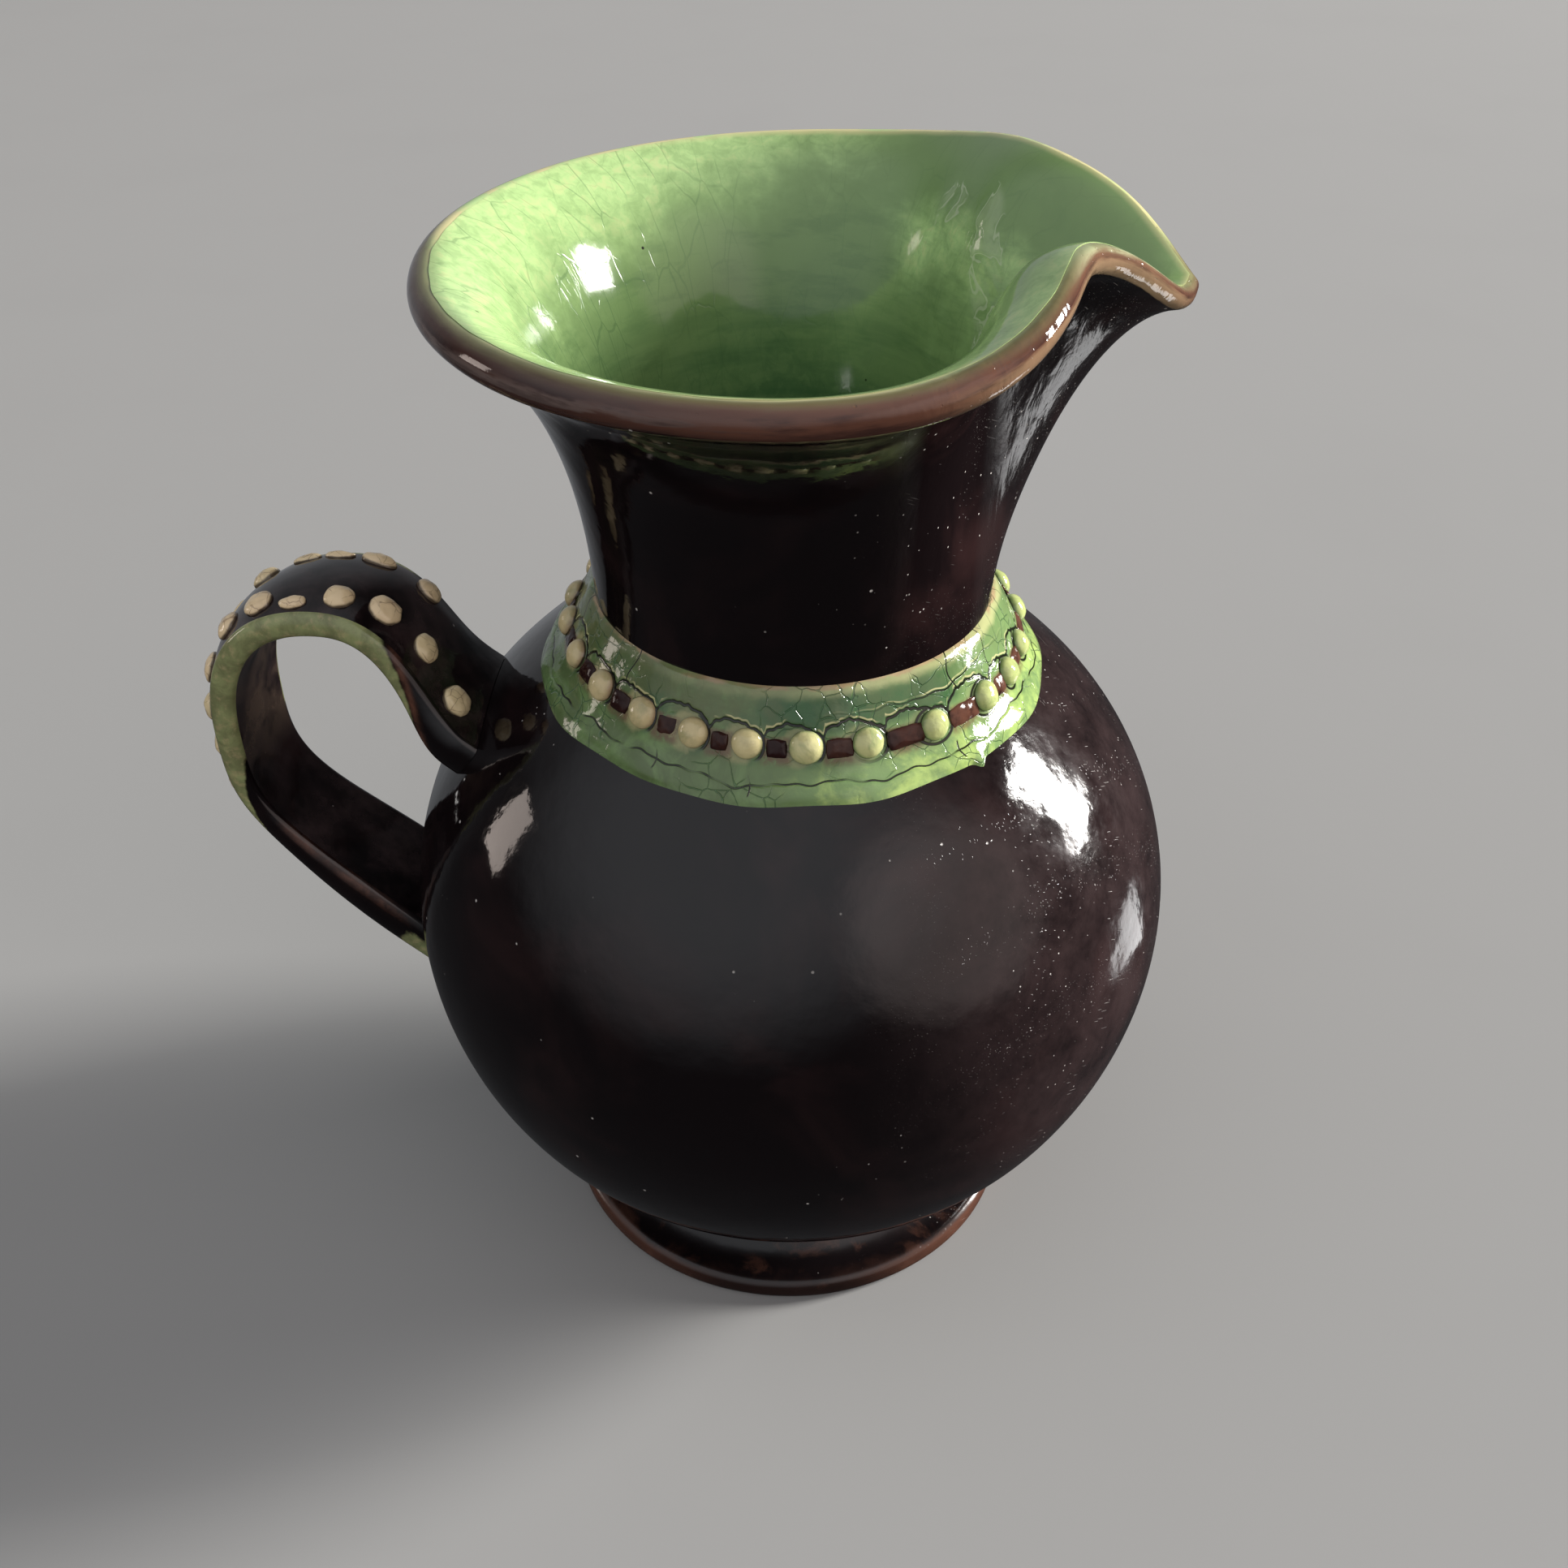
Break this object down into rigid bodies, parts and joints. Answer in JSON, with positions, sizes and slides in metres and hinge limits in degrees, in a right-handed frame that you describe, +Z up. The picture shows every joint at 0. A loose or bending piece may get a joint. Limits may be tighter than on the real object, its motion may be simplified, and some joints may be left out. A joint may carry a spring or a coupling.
{
  "type": "pouring jug",
  "caption": "Small round-bodied glazed earthenware pouring jug with a flared neck, pinched spout, beaded collar and a looped strap handle.",
  "frame": {"origin": "centre of the foot's ring, in the plane that rests on the table", "axes": "+Z up along the axis of the pot, +X towards the spout, -X towards the handle"},
  "size_m": [0.1056, 0.084, 0.1232],
  "materials": {
    "dark_glaze": "gloss",
    "foot_glaze": "gloss",
    "lining_glaze": "gloss",
    "collar_glaze": "gloss",
    "dash_slip": "gloss",
    "pearl_slip": "gloss",
    "edge_glaze": "gloss",
    "dot_slip": "gloss"
  },
  "bodies": {
    "root": {"body": "dark_glaze", "body_lining": "lining_glaze", "foot": "foot_glaze", "neck": "dark_glaze", "neck_lining": "lining_glaze", "collar": "collar_glaze", "collar_dashes": "dash_slip", "collar_pearls": "pearl_slip", "handle": "dark_glaze", "handle_edge_front": "edge_glaze", "handle_edge_back": "edge_glaze", "handle_dots_front": "dot_slip", "handle_dots_back": "dot_slip"}
  },
  "joints": []
}
